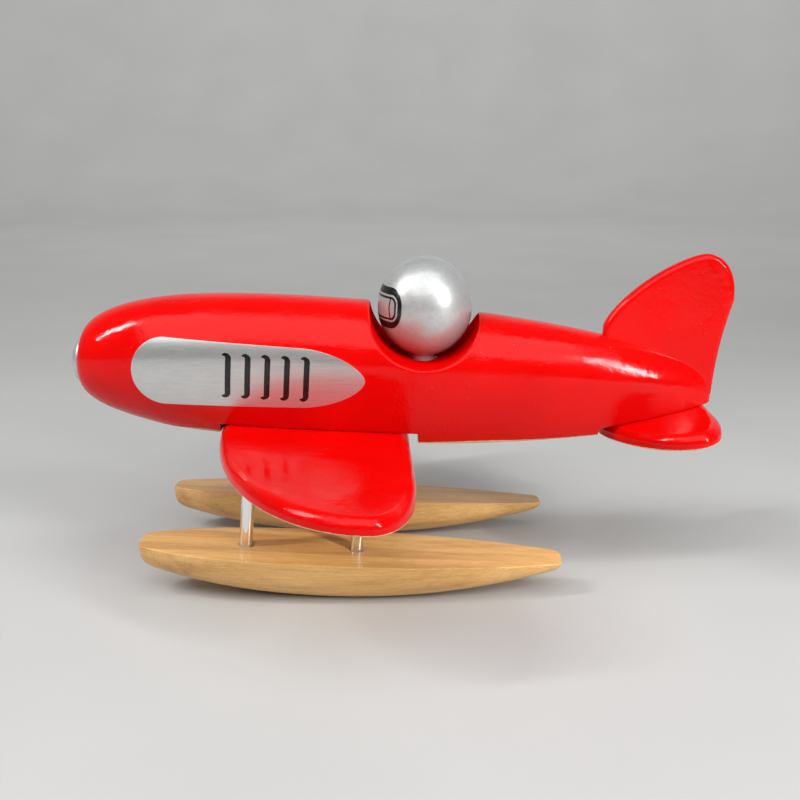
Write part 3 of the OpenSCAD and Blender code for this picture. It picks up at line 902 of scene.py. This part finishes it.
def visor_pieces():
    """Black band round the window, a thin inner frame and a thin bar near each end of the window."""
    level = 1.2
    across = np.linspace(0, 1, 7)[None, :, None]
    for name, outer, inner in (
            ("visor_band", (60, 23.5, 21), (54.3, 15.2, 11.5)),
            ("visor_frame", (52, 13, 9), (49.4, 10.6, 7))):
        outside, inside = (rounded_box(*size)[:, None, :] for size in (outer, inner))
        grid = outside * (1 - across) + inside * across
        points, faces = print_shell(on_head, grid[..., 0], grid[..., 1] + level, 0.06, wrap=True)
        tidy(add_piece(name, points, faces, [BLACK_PRINT], body=PILOT))
    for side in (LEFT, RIGHT):
        height = np.linspace(-11, 11, 40)[:, None]
        azimuth = -side * (41 + 0.012 * (height - 2) ** 2 + np.linspace(-0.9, 0.9, 5)[None, :])
        elevation = height + level + 0 * azimuth
        points, faces = print_shell(on_head, azimuth, elevation, 0.06)
        name = f"visor_bar_{SIDE_NAME[side]}"
        tidy(add_piece(name, points, faces, [BLACK_PRINT], body=PILOT))


PANEL_FRONT, PANEL_REAR = -115.7, -22.8
PANEL_BLUNT, PANEL_TAPER = -102.5, -47
PANEL_MIDDLE = 26.7


def panel_half_height(x):
    """Half height of the silver panel: a blunt front end, nearly straight sides and a long rear end."""
    body = 13.8 - 1.8 * unit((x + 103) / 60)
    front = unit((PANEL_BLUNT - x) / (PANEL_BLUNT - PANEL_FRONT))
    rear = unit((x - PANEL_TAPER) / (PANEL_REAR - PANEL_TAPER))
    return body * np.sqrt(1 - front ** 2) * (1 - rear ** 1.65) ** (1 / 1.65)


def panel_piece(side):
    t = np.linspace(0, math.pi, 150)
    x = (PANEL_FRONT + PANEL_REAR) / 2 - (PANEL_REAR - PANEL_FRONT) / 2 * np.cos(t)
    across = np.sin(np.linspace(-math.pi / 2, math.pi / 2, 41))
    u = x[:, None] + 0 * across[None, :]
    v = PANEL_MIDDLE + panel_half_height(x)[:, None] * across[None, :]
    points, faces = print_shell(flank(side), u, v, 0.05)
    piece = add_piece(f"side_panel_{SIDE_NAME[side]}", points, faces, [PANEL_SILVER])
    return tidy(piece)


def louvre_grid(x, z):
    """One louvre mark: an upright bar whose ends hook towards the nose and taper off."""
    half_height, corner, hook = 8.3, 1.6, 0.9
    turn = np.linspace(0, math.pi / 2, 10)
    top = [(x - hook - corner + hook * k, z + half_height + 0.25 * k) for k in np.linspace(0, 1, 6)[:-1]]
    top += [(x - corner + corner * math.sin(a), z + half_height + 0.25 - corner * (1 - math.cos(a)))
            for a in turn]
    foot = [(q[0] - 0.35, 2 * z - q[1]) for q in top[::-1]]
    bar = np.linspace(top[-1], foot[0], 24)[1:-1].tolist()
    line = np.array(top + bar + foot)
    run = np.gradient(line, axis=0)
    run /= np.linalg.norm(run, axis=1, keepdims=True)
    normal = np.stack([-run[:, 1], run[:, 0]], -1)
    length = np.concatenate([[0], np.cumsum(np.linalg.norm(np.diff(line, axis=0), axis=1))])
    from_end = np.minimum(length, length[-1] - length)
    half_width = 1.15 * np.sqrt(unit(from_end / 3.2))
    across = np.linspace(-1, 1, 7)[None, :, None]
    grid = line[:, None, :] + normal[:, None, :] * half_width[:, None, None] * across
    return grid[..., 0], grid[..., 1]


def louvre_pieces(side):
    """Five louvre marks printed on each panel."""
    points, faces = [], []
    for k in range(LOUVRES):
        u, v = louvre_grid(LOUVRE_FRONT + LOUVRE_PITCH * k, PANEL_MIDDLE - LOUVRE_DROP * k)
        some, those = print_shell(flank(side), u, v, 0.11)
        faces += [tuple(i + len(points) for i in face) for face in those]
        points += [tuple(p) for p in some]
    return tidy(add_piece(f"louvres_{SIDE_NAME[side]}", points, faces, [BLACK_PRINT]))


# ---------- the scene ----------

def studio():
    """Pale round cove, a large soft light overhead, strips for the gloss, and the camera."""
    profile = [(0, 0), (0.6, 0), (1.2, 0), (1.8, 0)]
    profile += [(1.8 + 0.9 * math.sin(a), 0.9 - 0.9 * math.cos(a)) for a in np.linspace(0.1, math.pi / 2, 16)]
    profile += [(2.7, 2.6)]
    points, faces = revolved(profile, 96)
    mesh = bpy.data.meshes.new("studio_cove")
    mesh.from_pydata(points, [], [face[::-1] for face in faces])
    mesh.materials.append(floor_material())
    mesh.polygons.foreach_set("use_smooth", [True] * len(mesh.polygons))
    cove = bpy.data.objects.new("studio_cove", mesh)
    bpy.context.scene.collection.objects.link(cove)

    middle = Vector((0, 0, 0.07))

    def soft_light(name, place, size, power, colour=(1, 1, 1), aim=middle):
        data = bpy.data.lights.new(name, "AREA")
        data.shape = "RECTANGLE"
        data.size, data.size_y = size
        data.energy = power
        data.color = colour
        light = bpy.data.objects.new(name, data)
        light.location = place
        light.rotation_mode = "QUATERNION"
        light.rotation_quaternion = (Vector(aim) - Vector(place)).to_track_quat("-Z", "Y")
        bpy.context.scene.collection.objects.link(light)

    soft_light("overhead", (0, -0.6, 1.11), (1.6, 1.3), 12.5)
    soft_light("strip_left", (-0.8, -0.25, 0.8), (0.07, 0.5), 7)
    soft_light("strip_right", (0.66, -0.57, 0.48), (0.07, 0.5), 7)
    soft_light("backdrop", (0, 0.9, 1.5), (2.4, 0.5), 26, aim=(0, 2.7, 0.9))

    world = bpy.data.worlds.new("studio_world")
    world.use_nodes = True
    world.node_tree.nodes["Background"].inputs["Color"].default_value = (0.95, 0.97, 1, 1)
    world.node_tree.nodes["Background"].inputs["Strength"].default_value = 0.12
    bpy.context.scene.world = world
    bpy.context.scene.view_settings.view_transform = "Standard"

    camera_data = bpy.data.cameras.new("camera")
    camera_data.sensor_width = 36
    camera_data.lens = CAMERA_LENS
    camera_data.clip_start, camera_data.clip_end = 0.02, 20
    camera = bpy.data.objects.new("camera", camera_data)
    target = CRAFT @ Vector(CAMERA_AIM)
    backwards = Vector((0, -math.cos(CAMERA_ELEVATION), math.sin(CAMERA_ELEVATION)))
    camera.location = target + CAMERA_DISTANCE_M * backwards
    camera.rotation_mode = "QUATERNION"
    camera.rotation_quaternion = (target - camera.location).to_track_quat("-Z", "Y")
    bpy.context.scene.collection.objects.link(camera)
    bpy.context.scene.camera = camera


def paint_cad_nodes():
    """Gives the CAD screws their zinc."""
    for name in ("wing_screws", "stabilizer_screws"):
        mesh = frame["nodes"][name].data
        mesh.materials.clear()
        mesh.materials.append(ZINC)


lacquered_body()
wing_piece()
stabilizer_piece()
fin_piece()
for side in (LEFT, RIGHT):
    float_piece(side)
    panel_piece(side)
    louvre_pieces(side)
for side, x in ROD_PLACES:
    rod_piece(side, x)
nose_piece()
head_piece()
neck_piece()
visor_pieces()
paint_cad_nodes()
studio()
